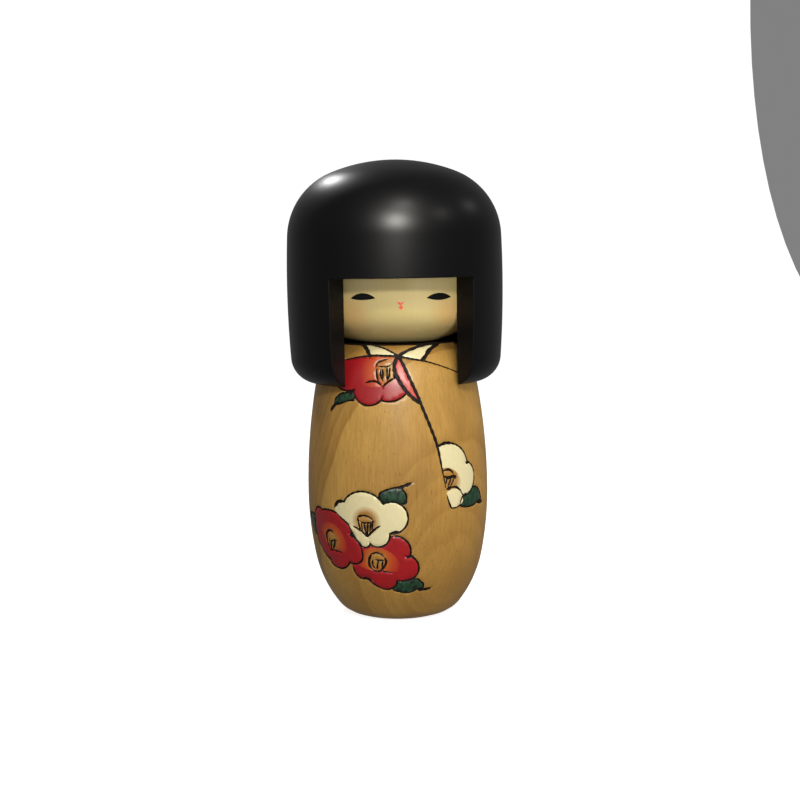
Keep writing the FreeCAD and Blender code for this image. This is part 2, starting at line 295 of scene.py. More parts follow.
class Drawing:
    """Burnt lines and painted shapes on the unrolled surface of one turned piece."""

    def __init__(self, outline):
        self.outline = outline
        self.nodes = []
        self.edges = []
        self.shapes = []
        self.marks = []

    def chain(self, points, closed=False):
        start = len(self.nodes)
        self.nodes += points
        self.edges += [(i, i + 1) for i in range(start, len(self.nodes) - 1)]
        if closed:
            self.edges.append((len(self.nodes) - 1, start))

    def near(self, centre, points):
        """Points given in millimetres across and up from a centre, on the unrolled surface."""
        across, length = self.outline.flat(*centre)
        placed = []
        for x, y in points:
            squeeze = self.outline.squeeze(length + y)
            placed.append((across + x / squeeze, length + y))
        return placed

    def path(self, places):
        """A soft curve through places given as angle and height."""
        return smooth_path([self.outline.flat(*place) for place in places])

    def shape(self, points, slot, keep=None):
        """A painted shape. keep says which part of it shows, if not all."""
        xs, ys = [p[0] for p in points], [p[1] for p in points]
        box = (min(xs), max(xs), min(ys), max(ys))
        self.chain(points, closed=True)
        self.shapes.append((points, box, slot, keep))

    def stroke(self, points, width, taper):
        """A burnt line along the points, a little uneven, as a hand makes it. taper is the
        share of it that narrows at each end, down to TIP_WIDTH of its width."""
        count = len(points)
        sides = ([], [])
        for i, (x, y) in enumerate(points):
            share = i / (count - 1)
            thin = min(1.0, TIP_WIDTH + (1 - TIP_WIDTH) * share / max(taper[0], 1e-6),
                       TIP_WIDTH + (1 - TIP_WIDTH) * (1 - share) / max(taper[1], 1e-6))
            half = width / 2 * thin * (1 + UNEVEN * math.sin(UNEVEN_TURN * i + x))
            before, after = points[max(i - 1, 0)], points[min(i + 1, count - 1)]
            squeeze = self.outline.squeeze(y)
            dx, dy = (after[0] - before[0]) * squeeze, after[1] - before[1]
            run = math.hypot(dx, dy) or 1.0
            for side, sign in zip(sides, (1, -1)):
                side.append((x - sign * dy / run * half / squeeze, y + sign * dx / run * half))
            self.marks.append((x, y, half))
        for line in (*sides, points):
            self.chain(line)

    def index(self):
        """A search tree over the points of the burnt lines."""
        self.tree = kdtree.KDTree(len(self.marks))
        for i, (x, y, _) in enumerate(self.marks):
            self.tree.insert((x, y, 0), i)
        self.tree.balance()

    def clear_of_lines(self, x, y, space):
        """Whether the nearest line's edge is at least that far from a point."""
        _, nearest, gap = self.tree.find((x, y, 0))
        return nearest is None or gap > space + self.marks[nearest][2]

    def depth_share(self, x, y):
        """How far in a point is from the edge of a burnt line: 0 outside, 1 in the middle."""
        best = 0.0
        squeeze = self.outline.squeeze(y)
        for _, i, _ in self.tree.find_range((x, y, 0), WIDEST_HALF_LINE / squeeze):
            mark_x, mark_y, half = self.marks[i]
            distance = math.hypot((x - mark_x) * squeeze, y - mark_y)
            best = max(best, 1 - distance / half)
        return best

    def paint_at(self, x, y):
        """The topmost painted shape's material at a point, or None."""
        for points, box, slot, keep in reversed(self.shapes):
            if box[0] <= x <= box[1] and box[2] <= y <= box[3] and inside(points, x, y):
                if keep is None or keep(x, y):
                    return slot
        return None


def grid_points(outline, fine, window):
    """Evenly spread points over the unrolled surface: fine ones in the window, which is
    (half width in degrees, low, high), and coarser ones elsewhere."""
    half, low, high = math.radians(window[0]) * outline.wide, window[1], window[2]
    edge = math.pi * outline.wide
    coarse = 2.4 * fine
    points = []
    for step, wanted in ((fine, True), (coarse, False)):
        rows = int(outline.total / step)
        for j in range(1, rows):
            y = j * outline.total / rows
            columns = int(2 * edge / step)
            for i in range(columns):
                x = -edge + (i + 0.25 + 0.5 * (j % 2)) * 2 * edge / columns
                within = abs(x) < half and low < y < high
                if within == wanted and abs(x) < edge - step * 0.6:
                    points.append((x, y))
    return points


def surface_nodes(drawing, fine, window, bands, row_x):
    """The drawing's own points, the piece's borders and bands, and a grid clear of the lines."""
    outline = drawing.outline
    for y in (0.0, outline.total, *(start for start, _ in bands)):
        drawing.chain([(x, y) for x in row_x])
    up = int(outline.total / SEAM_STEP)
    for x in (row_x[0], row_x[-1]):
        drawing.chain([(x, outline.total * j / up) for j in range(up + 1)])
    return drawing.nodes + [point for point in grid_points(outline, fine, window)
                            if drawing.clear_of_lines(*point, 0.55 * fine)]


def rise_at(drawing, bands, x, y):
    """How far the surface stands out there: up under paint, down in a burnt line."""
    if any(y >= start for start, _ in bands):
        return 0.0
    share = drawing.depth_share(x, y)
    if share > 0:
        return -GROOVE_DEPTH * share * (2 - share)
    return PAINT_RISE if drawing.paint_at(x, y) else 0.0


def slot_at(drawing, bands, plain, x, y):
    """Which material shows there."""
    for start, band_slot in bands:
        if y > start:
            return band_slot
    if drawing.depth_share(x, y) > 0:
        return "burnt"
    return drawing.paint_at(x, y) or plain


def carry_on(mesh, outline, row_x, first, rest, material_index):
    """Rings from the outline's first point through the rest, closed with a flat disc."""
    def ring(radius, height):
        return [mesh.verts.new((radius * math.sin(x / outline.wide),
                                -radius * math.cos(x / outline.wide), height))
                for x in row_x[:-1]]

    last = ring(*first)
    for radius, height in rest:
        new = ring(radius, height)
        for i in range(len(last)):
            j = (i + 1) % len(last)
            face = mesh.faces.new((last[i], last[j], new[j], new[i]))
            face.material_index = material_index
        last = new
    mesh.faces.new(last).material_index = material_index


def painted_piece(name, drawing, slots, fine, window, low_end, high_end, end_slot, bands=()):
    """The mesh of a turned piece with its drawing cut in. low_end and high_end carry the
    turned outline on past the drawn surface, as (radius, height) points, to a flat disc.
    bands are rings (distance along, slot) painted from there to the top."""
    outline = drawing.outline
    drawing.index()
    edge = math.pi * outline.wide
    row_x = [-edge + 2 * edge * i / AROUND for i in range(AROUND + 1)]
    nodes = surface_nodes(drawing, fine, window, bands, row_x)
    verts, _, faces, *_ = geometry.delaunay_2d_cdt(
        [Vector(node) for node in nodes], drawing.edges, [], 0, 1e-4)

    mesh = bmesh.new()
    made = []
    for x, y in verts:
        y = min(max(y, 0.0), outline.total)
        made.append(mesh.verts.new(outline.solid(x, y, rise_at(drawing, bands, x, y))))
    order = {slot: i for i, slot in enumerate(slots)}
    for corners in faces:
        x = sum(verts[i].x for i in corners) / 3
        y = sum(verts[i].y for i in corners) / 3
        face = mesh.faces.new([made[i] for i in corners])
        face.material_index = order[slot_at(drawing, bands, slots[0], x, y)]
        face.smooth = True
    carry_on(mesh, outline, row_x, outline.points[0], low_end, order[end_slot])
    carry_on(mesh, outline, row_x, outline.points[-1], high_end, order[end_slot])

    bmesh.ops.remove_doubles(mesh, verts=mesh.verts, dist=2e-3)
    bmesh.ops.dissolve_degenerate(mesh, edges=mesh.edges, dist=1e-4)
    bmesh.ops.recalc_face_normals(mesh, faces=mesh.faces)
    bmesh.ops.scale(mesh, vec=(MM, MM, MM), verts=mesh.verts)
    return finish_mesh(name, mesh, slots, math.radians(50))


def finish_mesh(name, mesh, slots, sharp_angle):
    data = bpy.data.meshes.new(name)
    mesh.to_mesh(data)
    mesh.free()
    for slot in slots:
        data.materials.append(MATERIALS[slot])
    data.set_sharp_from_angle(angle=sharp_angle)
    piece = bpy.data.objects.new(name, data)
    bpy.context.scene.collection.objects.link(piece)
    return piece


# ---- materials ----


def linear(red, green, blue):
    """A screen colour, 0 to 255, as a linear one."""
    return tuple(((c / 255 + 0.055) / 1.055) ** 2.4 if c > 10 else c / 255 / 12.92
                 for c in (red, green, blue)) + (1.0,)


class Shader:
    """A material's node tree, with short ways to add and join nodes."""

    def __init__(self, name, roughness, specular=0.5, coat=0.0, coat_roughness=0.1):
        self.material = bpy.data.materials.new(name)
        self.material.use_nodes = True
        self.tree = self.material.node_tree
        self.out = self.tree.nodes["Principled BSDF"]
        self.out.inputs["Roughness"].default_value = roughness
        self.out.inputs["Specular IOR Level"].default_value = specular
        self.out.inputs["Coat Weight"].default_value = coat
        self.out.inputs["Coat Roughness"].default_value = coat_roughness

    def node(self, kind, inputs=(), **settings):
        node = self.tree.nodes.new(kind)
        for key, value in settings.items():
            setattr(node, key, value)
        for key, value in dict(inputs).items():
            if isinstance(value, bpy.types.NodeSocket):
                self.tree.links.new(value, node.inputs[key])
            else:
                node.inputs[key].default_value = value
        return node

    def place(self):
        """The position on the piece, in millimetres."""
        coords = self.node("ShaderNodeTexCoord")
        return self.node("ShaderNodeVectorMath", {0: coords.outputs["Object"], 3: 1 / MM},
                         operation="SCALE").outputs[0]

    def noise(self, place, scales, detail=3.0, roughness=0.55, shift=(0, 0, 0)):
        """Noise with about so many swells a millimetre along each axis."""
        stretched = self.node("ShaderNodeMapping", {
            "Vector": place, "Location": shift, "Scale": scales}).outputs[0]
        return self.node("ShaderNodeTexNoise", {
            "Vector": stretched, "Scale": 1.0, "Detail": detail,
            "Roughness": roughness}).outputs["Fac"]

    def math(self, operation, first, second=0.0):
        return self.node("ShaderNodeMath", {0: first, 1: second}, operation=operation).outputs[0]

    def fade(self, value, low, high, from_value=0.0, to_value=1.0):
        """Softly from one value to another as value goes from low to high."""
        return self.node("ShaderNodeMapRange", {
            "Value": value, "From Min": low, "From Max": high,
            "To Min": from_value, "To Max": to_value}, interpolation_type="SMOOTHSTEP").outputs[0]

    def mix(self, factor, first, second):
        """From the first colour to the second. A mix node's colour sockets are 6, 7 and 2."""
        return self.node("ShaderNodeMix", {0: factor, 6: first, 7: second},
                         data_type="RGBA").outputs[2]

    def ramp(self, value, stops):
        node = self.node("ShaderNodeValToRGB", {"Fac": value})
        elements = node.color_ramp.elements
        while len(elements) < len(stops):
            elements.new(0.5)
        for element, (position, colour) in zip(elements, stops):
            element.position = position
            element.color = colour
        return node.outputs["Color"]

    def distance(self, vector, point):
        away = self.node("ShaderNodeVectorMath", {0: vector, 1: point}, operation="DISTANCE")
        return away.outputs["Value"]

    def finish(self, colour, bump=None, strength=0.1, depth=0.1):
        """Sets the colour and a bump, whose depth is in millimetres, and gives the material."""
        if isinstance(colour, bpy.types.NodeSocket):
            self.tree.links.new(colour, self.out.inputs["Base Color"])
        else:
            self.out.inputs["Base Color"].default_value = colour
        if bump is not None:
            node = self.node("ShaderNodeBump", {
                "Height": bump, "Strength": strength, "Distance": depth * MM})
            self.tree.links.new(node.outputs["Normal"], self.out.inputs["Normal"])
        return self.material


def wood_grain(shader):
    """Growth rings that run out on the front as nested arches, and fibres up the doll. Returns
    the place on the piece, and the rings', the fibres' and the pores' strength, each 0 to 1."""
    place = shader.place()
    wander = shader.noise(place, (0.02, 0.02, 0.012), 2.0)
    fine_wander = shader.noise(place, (0.12, 0.12, 0.04), 3.0)
    pith = shader.node("ShaderNodeVectorMath", {
        0: place, 1: (PITH[0], PITH[1], 0)}, operation="SUBTRACT")
    level = shader.node("ShaderNodeVectorMath", {0: pith.outputs[0], 1: (1, 1, 0)},
                        operation="MULTIPLY")
    away = shader.node("ShaderNodeVectorMath", {0: level.outputs[0]}, operation="LENGTH")
    height = shader.node("ShaderNodeSeparateXYZ", {0: place}).outputs["Z"]
    reach = shader.math("SUBTRACT", away.outputs["Value"],
                        shader.math("MULTIPLY", height, RING_SLOPE))
    reach = shader.math("ADD", reach, shader.math("MULTIPLY", wander, RING_WANDER))
    reach = shader.math("ADD", reach, shader.math("MULTIPLY", fine_wander, RING_WOBBLE))
    ring = shader.math("FRACT", shader.math("DIVIDE", reach, RING_PERIOD))
    tones = [(0.0, PLAIN_WOOD)]
    for edge, depth in RING_EDGES:
        last = edge == RING_EDGES[-1][0]
        tones.append((edge / RING_PERIOD - 0.004, depth))
        tones.append((edge / RING_PERIOD + 0.007, PLAIN_WOOD if last else EARLY_WOOD))
    late = shader.ramp(ring, [(at, (tone, tone, tone, 1)) for at, tone in tones])
    fibre = shader.noise(place, (1.5, 1.5, 0.05), 5.0, 0.7)
    pores = shader.noise(place, (3.6, 3.6, 0.28), 2.0, 0.6)
    return place, late, shader.fade(fibre, 0.3, 0.7), shader.fade(pores, 0.62, 0.72)


def wood_material():
    shader = Shader("body_wood", 0.4, specular=0.22)
    place, late, fibre, pores = wood_grain(shader)
    colour = shader.mix(late, linear(202, 158, 82), linear(126, 84, 30))
    colour = shader.mix(shader.math("MULTIPLY", fibre, 0.3), colour, linear(112, 76, 30))
    patches = shader.noise(place, (0.06, 0.06, 0.035), 2.0, shift=(7, 3, 0))
    spots = shader.math("MULTIPLY", pores, shader.fade(patches, 0.42, 0.6, 0.1, 0.75))
    colour = shader.mix(spots, colour, linear(84, 54, 24))
    blotch = shader.noise(place, (0.05, 0.05, 0.03), 2.0)
    colour = shader.mix(shader.fade(blotch, 0.35, 0.75, 0.0, 0.4), colour, linear(118, 82, 34))
    return shader.finish(colour, shader.math("SUBTRACT", fibre, pores), 0.2, 0.03)


def face_material():
    shader = Shader("face_ivory", 0.3, specular=0.4, coat=0.15, coat_roughness=0.2)
    place = shader.place()
    fibre = shader.noise(place, (0.9, 0.9, 0.04), 4.0, 0.6)
    colour = shader.mix(shader.fade(fibre, 0.3, 0.75, 0.0, 0.25),
                        linear(198, 178, 120), linear(186, 162, 102))
    for angle in (-33.5, 32.5):
        cheek = FACE.solid(math.radians(angle) * FACE.wide, FACE.length_at(110.6), 0)
        glow = shader.fade(shader.distance(place, cheek), 9.0, 1.0, 0.0, 0.42)
        colour = shader.mix(glow, colour, linear(205, 146, 78))
    return shader.finish(colour, fibre, 0.03, 0.02)


def hair_material():
    shader = Shader("hair_lacquer", 0.36, specular=0.17)
    place = shader.place()
    rings = shader.noise(place, (0.1, 0.1, 2.2), 3.0, 0.65)
    grit = shader.noise(place, (3, 3, 3), 2.0)
    both = shader.math("ADD", rings, shader.math("MULTIPLY", grit, 0.5))
    sheen = shader.noise(place, (0.03, 0.03, 0.05), 2.0)
    colour = shader.mix(sheen, linear(5, 5, 8), linear(10, 8, 9))
    return shader.finish(colour, both, 0.12, 0.03)


def plain_paint(name, colour, shade, amount=0.5, roughness=0.42, specular=0.4):
    """Brushed paint: a colour with streaks of another."""
    shader = Shader(name, roughness, specular)
    place = shader.place()
    streak = shader.noise(place, (0.9, 0.9, 0.5), 4.0, 0.65)
    mixed = shader.mix(shader.fade(streak, 0.35, 0.8, 0.0, amount), linear(*colour), linear(*shade))
    return shader.finish(mixed, streak, 0.1, 0.03)


def throat_paint(name, flower):
    """A flower's middle, where the petal colour thins to the throat's and then to bare wood."""
    shader = Shader(name, 0.42, specular=0.4)
    place = shader.place()
    across, length = BODY.flat(*flower["centre"])
    aside, up = flower["glow"]
    middle = BODY.solid(across + aside / BODY.squeeze(length), length + up, 0)
    streak = shader.noise(place, (1.3, 1.3, 0.6), 4.0, 0.7)
    away = shader.distance(place, middle)
    away = shader.math("ADD", away, shader.math("MULTIPLY", streak, 0.2 * flower["reach"]))
    away = shader.math("DIVIDE", away, flower["reach"] * 1.1)
    petal, throat = (RED, ORANGE) if flower["paint"] == "red" else (CREAM, TAN)
    colour = shader.ramp(away, ((0.3, linear(*BARE)), (0.62, linear(*throat)),
                                (1.0, linear(*petal))))
    return shader.finish(colour, streak, 0.1, 0.03)


# ---- decoration ----

BODY = Outline(body_outline())
FACE = Outline(head_outline())

RED = (154, 10, 18)
RED_SHADE = (116, 8, 18)
CREAM = (216, 203, 158)
CREAM_SHADE = (200, 186, 138)
ORANGE = (178, 70, 20)
TAN = (166, 120, 56)
BARE = (164, 118, 50)

# Each flower: centre (angle, height), petals and throat as (across, up, bulge) corners in
# millimetres from it, where the throat's colour is strongest and how far it reaches, and the
# burnt lines inside as (width, points).
FLOWERS = {
    "low_red": {
        "centre": (-18.7, 24.4),
        "petals": [
            (-9.3, -1.0, 1.4), (-4.5, 6.0, 1.0), (4.6, 9.2, 3.3), (11.7, 2.2, 2.3),
            (12.9, -5.9, 0.5), (6.6, -7.2, 1.9), (0.4, -10.2, 0.3), (-4.0, -6.7, 1.6),
            (-9.2, -3.0, 0.3)],
        "throat": [
            (-8.4, -1.0, 7.6), (8.4, -3.6, 0.1), (1.0, -3.4, 0.2), (-1.5, -3.4, 0.4)],
        "paint": "red", "glow": (0.0, 0.6), "reach": 8.4,
        "lines": [
            (0.95, [(-1.9, 3.0), (-2.9, 0.5), (-2.7, -1.9), (-1.3, -3.4)]),
            (0.7, [(-2.3, 2.6), (-0.3, 3.4), (1.4, 2.9), (2.7, 1.7)]),
            (0.9, [(2.6, 1.8), (3.2, 0.1), (2.4, -1.8), (0.8, -3.4)]),
            (0.7, [(-1.6, -3.3), (-0.2, -3.6), (1.2, -3.3)]),
            (0.7, [(-0.7, 0.9), (0.8, 0.6), (2.5, 0.6)]),
            (0.7, [(0.5, 0.7), (0.1, -1.0), (-0.2, -2.9)]), (0.6, [(2.0, 0.5), (1.6, -2.2)]),
            (0.7, [(-1.7, 0.6), (-1.6, -1.5), (-0.7, -2.6)]),
            (0.6, [(0.8, -3.4), (2.8, -3.6), (5.2, -4.0)]),
            (1.0, [(10.2, 1.8), (11.4, 1.9), (12.9, 2.2)]),
            (1.1, [(-5.6, -6.4), (-4.2, -6.7), (-2.4, -7.5)])]},
    "left_red": {
        "centre": (-53.4, 30.3),
        "petals": [
            (-9.8, 8.0, 1.9), (-3.8, 10.9, 1.2), (7.9, 9.1, 0.6), (10.4, 3.2, 1.7),
            (13.3, -5.6, 1.0), (8.1, -6.9, 2.9), (-2.4, -7.1, 0.5), (-8.9, -0.5, 0.4)],
        "throat": [
            (-6.0, 3.4, 6.8), (7.0, -3.5, 0.2), (0.6, -3.2, 0.4), (-2.8, -0.4, 0.2)],
        "paint": "red", "glow": (1.0, 0.6), "reach": 7.6,
        "lines": [
            (0.95, [(-2.5, 0.6), (-1.8, 2.7), (0.1, 3.9), (2.3, 3.2)]),
            (0.9, [(-2.0, 2.4), (-2.0, -0.3), (-0.9, -2.9)]),
            (0.8, [(2.4, 1.2), (1.9, -1.0), (0.7, -3.1)]), (0.7, [(-0.8, 0.9), (-0.5, -2.4)]),
            (0.8, [(0.5, 0.5), (-0.1, -2.8)]), (0.7, [(-0.2, -0.2), (1.4, 0.3), (3.2, 0.5)]),
            (0.9, [(-1.0, -2.8), (0.0, -3.4), (0.9, -3.1)]),
            (0.6, [(0.6, -3.2), (2.9, -3.4), (5.5, -3.7)]),
            (0.5, [(-5.6, 3.2), (-4.0, 1.4), (-2.4, -0.5)]), (1.0, [(-3.4, -6.2), (-1.4, -7.4)]),
            (1.0, [(9.4, 3.7), (11.2, 2.6)])]},
    "left_white": {
        "centre": (-25.0, 38.4),
        "petals": [
            (-12.9, 3.6, 1.7), (-8.5, 6.9, 4.2), (6.6, 6.8, 7.6), (8.6, -3.6, 2.7),
            (1.4, -7.7, 1.3), (-2.7, -7.5, 0.3), (-6.9, -0.8, 0.3)],
        "throat": [
            (-5.6, -1.9, 7.6), (5.8, -0.6, 0.5), (0.4, -5.1, 0.6)],
        "paint": "white", "glow": (0.2, 0.6), "reach": 5.6,
        "lines": [
            (0.75, [(-3.0, 0.6), (-2.7, 2.0), (-0.6, 2.6), (1.6, 2.0), (3.2, 0.6)]),
            (0.65, [(-2.6, 0.9), (-1.2, 0.1), (0.3, 0.0), (1.8, 0.2), (3.2, 0.8)]),
            (0.7, [(-2.7, 1.4), (-2.5, -0.7), (-1.8, -3.2)]), (0.7, [(2.7, 0.9), (2.3, -2.4)]),
            (0.6, [(-1.5, 0.1), (-1.3, -3.0)]), (0.75, [(-0.6, 0.0), (0.1, -4.2)]),
            (0.75, [(0.8, 0.0), (0.6, -4.2)]), (0.6, [(1.9, 0.1), (1.5, -3.4)]),
            (0.85, [(-4.9, -1.5), (-3.4, -2.1), (-1.3, -3.2), (0.4, -5.2)]),
            (0.85, [(0.4, -5.2), (2.0, -3.4), (3.7, -1.9), (5.5, -0.8)]),
            (1.2, [(0.3, -3.4), (0.4, -5.2)]), (1.1, [(-12.8, 4.6), (-10.8, 6.7), (-7.9, 7.0)]),
            (1.0, [(8.3, -4.0), (10.0, -3.2), (12.3, -3.0)]), (0.9, [(1.2, -7.2), (1.7, -8.5)])]},
    "right_white": {
        "centre": (29.2, 53.6),
        "petals": [
            (-9.0, 8.0, 0.8), (-4.5, 10.8, 3.6), (8.5, 4.6, 5.4), (5.9, -7.2, 0.0),
            (4.8, -5.4, -1.5), (-2.5, -5.0, 0.0), (-9.0, -5.0, 0.0)],
        "throat": [
            (-9.0, -5.0, 8.4), (5.0, -5.0, -1.4), (-2.5, -5.0, 0.0)],
        "paint": "white", "glow": (-0.6, -0.6), "reach": 6.4,
        "lines": [
            (0.85, [(-3.2, 2.2), (-0.8, 2.7), (0.7, 2.0), (1.7, 0.9)]),
            (1.15, [(-2.8, 0.7), (-0.9, -0.2), (0.8, 0.0), (2.9, 0.3)]),
            (0.9, [(2.9, 0.2), (1.8, -0.9)]), (0.7, [(-1.3, 0.0), (-1.6, -1.8), (-2.4, -3.3)]),
            (0.6, [(0.6, -0.4), (-1.0, -3.5)]), (0.6, [(2.0, -0.5), (0.1, -3.5)]),
            (1.2, [(-2.7, -5.1), (-1.2, -4.2), (0.4, -3.8)]),
            (0.7, [(0.2, -3.8), (2.3, -3.7), (3.7, -4.3), (4.8, -5.3)]),
            (1.1, [(-4.4, 11.0), (-1.3, 12.0), (2.0, 11.6)]), (1.2, [(8.0, 4.0), (9.2, 4.4)]),
            (1.1, [(5.8, -7.3), (7.9, -7.0)])]},
    "chest_red": {
        "centre": (-13.5, 90.6),
        "petals": [
            (-21.0, -2.0, 2.0), (-16.0, 6.0, 0.6), (4.0, 6.6, 1.0), (9.4, -5.4, 2.2),
            (-0.7, -9.8, 3.4), (-11.2, -6.5, 2.0)],
        "throat": [
            (-8.8, -3.9, 0.5), (-8.8, 6.4, 0.3), (8.0, 6.6, 0.3), (7.0, -1.4, 0.0),
            (4.4, -2.0, 0.4), (-0.2, -5.0, 0.7)],
        "paint": "red", "glow": (2.0, 0.8), "reach": 10.6,
        "lines": [
            (0.85, [(-2.9, 2.1), (-2.4, 3.5), (-1.0, 4.4), (1.2, 5.1)]),
            (0.55, [(-2.6, 2.3), (-1.1, 2.2), (0.6, 2.1), (1.9, 2.4), (3.1, 3.6)]),
            (0.75, [(-2.6, 1.4), (-2.3, -1.5), (-1.6, -3.4)]),
            (0.6, [(-0.9, 1.5), (-1.1, -0.4), (-0.6, -2.1), (0.0, -3.2)]),
            (0.6, [(-0.5, 1.4), (-0.2, -1.0), (-0.2, -2.7)]), (0.65, [(1.1, 1.8), (1.4, -3.2)]),
            (0.65, [(2.1, 1.8), (1.9, -2.6)]), (0.6, [(3.5, 1.2), (3.8, -2.4)]),
            (0.8, [(-6.6, -3.8), (-4.3, -3.2), (-2.1, -3.5), (-0.2, -5.1)]),
            (0.8, [(-0.2, -5.1), (1.1, -3.9), (2.7, -2.7), (4.6, -1.9)]),
            (0.8, [(-0.8, -10.4), (-0.5, -8.9)]), (1.0, [(-12.8, -8.0), (-10.6, -6.0)]),
            (0.6, [(4.3, -6.3), (4.7, -5.9)]), (0.6, [(3.4, -7.0), (3.8, -6.6)])]},
}

TURNED_UP_PETAL = [(-1.5, -5.5, 1.1), (4.8, -5.4, 0.3), (6.2, -8.8, 0.5), (3.9, -10.7, 0.3),
                   (0.4, -11.0, 0.2)]

# Leaves: centre, outline corners as above, and the drawn-out tip.
LEAVES = {
    "top": ((-8.0, 48.0), [(-4.6, -0.4, 0.3), (-3.9, 1.4, 0.4), (3.6, 3.3, -0.3), (4.4, 1.4, 0.3),
                           (4.9, -1.6, 0.6), (3.4, -2.7, 0.2), (-3.2, -2.2, 0.2)],
            [(1.8, 2.7), (4.6, 3.7), (6.9, 4.6)]),
    "low": ((1.2, 15.4), [(-5.7, -0.8, 0.4), (-4.4, 2.0, -0.3), (2.0, 2.4, 0.6), (4.6, 1.5, 0.6),
                          (5.6, -1.3, -0.3), (2.4, -2.2, 0.7), (-2.6, -2.4, 0.4)],
            [(3.8, -2.1), (6.2, -2.0), (8.7, -1.7)]),
    "right": ((29.2, 53.6), [(5.6, -7.4, 0.0), (9.4, -5.6, 0.2), (12.4, -4.9, 0.5),
                             (16.2, -7.0, 0.3), (17.6, -10.3, -0.2), (13.6, -10.9, 0.3),
                             (8.6, -11.6, 0.2), (4.2, -10.6, 0.0)],
              [(14.6, -10.8), (16.8, -11.2), (19.2, -11.0)]),
    "left": ((-71.0, 34.0), [(-6.0, 3.4, 0.6), (-2.0, 4.6, 0.8), (4.4, 2.2, 0.3), (7.4, -1.2, 0.4),
                             (3.0, -3.4, 0.6), (-2.6, -1.4, 0.4)],
             [(-4.6, 3.2), (-6.6, 4.0), (-8.4, 5.4)]),
    "chest": ((-13.5, 90.6), [(-19.6, -11.8, 0.6), (-18.0, -8.9, 0.4), (-14.6, -7.6, 0.2),
                              (-10.8, -7.2, 0.2), (-11.0, -10.0, -0.2), (-15.2, -10.9, 0.2)],
              [(-17.6, -11.2), (-19.6, -12.2), (-21.8, -14.4)]),
}

# The collar and the front edge of the kimono, as places (angle, height).
NECK_LEFT = [(-30.0, 99.8), (-18.0, 98.9), (-10.0, 97.7), (-4.0, 96.4)]
NECK_RIGHT = [(46.0, 99.8), (21.7, 99.3), (10.7, 98.3), (3.5, 97.3), (-2.2, 96.1)]
BAND_LEFT = [(-38.0, 99.9), (-31.2, 98.3), (-26.0, 95.9)]
BAND_RIGHT = [(41.0, 99.8), (27.2, 97.9), (20.3, 95.8), (16.4, 94.3)]
CHEST_LINE = [(-66.0, 91.6), (-47.0, 94.6), (-25.7, 96.1), (-13.7, 96.1), (-3.0, 95.9),
              (6.2, 95.1), (16.6, 94.2), (23.1, 93.4), (32.4, 91.9), (43.3, 89.9), (58.0, 86.4)]
LAPEL_LEFT = [(-3.6, 95.8), (-5.9, 92.6), (-4.0, 89.2), (2.3, 84.0), (10.9, 79.6)]
LAPEL_RIGHT = [(-2.2, 95.8), (1.2, 92.8), (4.0, 89.4), (8.6, 83.8), (11.6, 79.9)]
FRONT_EDGE = [(10.9, 80.6), (17.4, 71.2), (21.2, 64.8), (23.5, 57.8), (26.0, 49.9)]
LEFT_PANEL = [(-34.5, 99.8), (-24.0, 99.5), (-17.6, 98.7), (-3.6, 96.2), (-13.7, 96.1),
              (-26.0, 96.0)]
RIGHT_PANEL = [(36.5, 99.7), (20.8, 99.1), (11.0, 98.0), (-1.8, 96.0), (6.2, 95.2),
               (16.4, 94.3), (22.6, 96.6)]


def crossing_x(path, y):
    """How far across a drawn line is, at that height of the unrolled surface."""
    nearest = min(path, key=lambda point: abs(point[1] - y))
    return nearest[0]


def crossing_y(path, x):
    """How high a drawn line is, that far across the unrolled surface."""
    nearest = min(path, key=lambda point: abs(point[0] - x))
    return nearest[1]


def visible_runs(points, showing):
    """The stretches of a line where it shows."""
    runs = [[]]
    for point in points:
        if showing(*point):
            runs[-1].append(point)
        elif runs[-1]:
            runs.append([])
    return [run for run in runs if len(run) > 3]


def draw_flower(drawing, name, keep, covers):
    flower = FLOWERS[name]
    centre = flower["centre"]
    petals = drawing.near(centre, bulging_path(flower["petals"]))
    drawing.shape(petals, flower["paint"], keep)
    drawing.shape(drawing.near(centre, bulging_path(flower["throat"])), name + "_throat", keep)

    def showing(x, y):
        return keep(x, y) and not any(inside(cover, x, y) for cover in covers)

    for run in visible_runs(petals + petals[:1], showing):
        drawing.stroke(run, OUTLINE_WIDTH, taper=(0.04, 0.04))
    for width, points in flower["lines"]:
        for run in visible_runs(drawing.near(centre, smooth_path(points)), showing):
            drawing.stroke(run, width, taper=(0.25, 0.3))


def draw_collar(drawing, chest_line, lapel_left, lapel_right, front_edge):
    for panel in (LEFT_PANEL, RIGHT_PANEL):
        drawing.shape([BODY.flat(*place) for place in panel], "white")
    drawing.shape(lapel_left + lapel_right[::-1], "lapel")
    drawing.stroke(drawing.path(NECK_LEFT), 0.8, taper=(0.1, 0.0))
    drawing.stroke(drawing.path(NECK_RIGHT), 1.3, taper=(0.1, 0.0))
    drawing.stroke(drawing.path(BAND_LEFT), 1.4, taper=(0.0, 0.0))
    drawing.stroke(drawing.path(BAND_RIGHT), 1.45, taper=(0.0, 0.0))
    drawing.stroke(chest_line, 1.0, taper=(0.3, 0.5))
    drawing.stroke(lapel_left, 1.35, taper=(0.0, 0.1))
    drawing.stroke(lapel_right, 1.2, taper=(0.0, 0.1))
    drawing.stroke(front_edge, 1.15, taper=(0.0, 0.5))


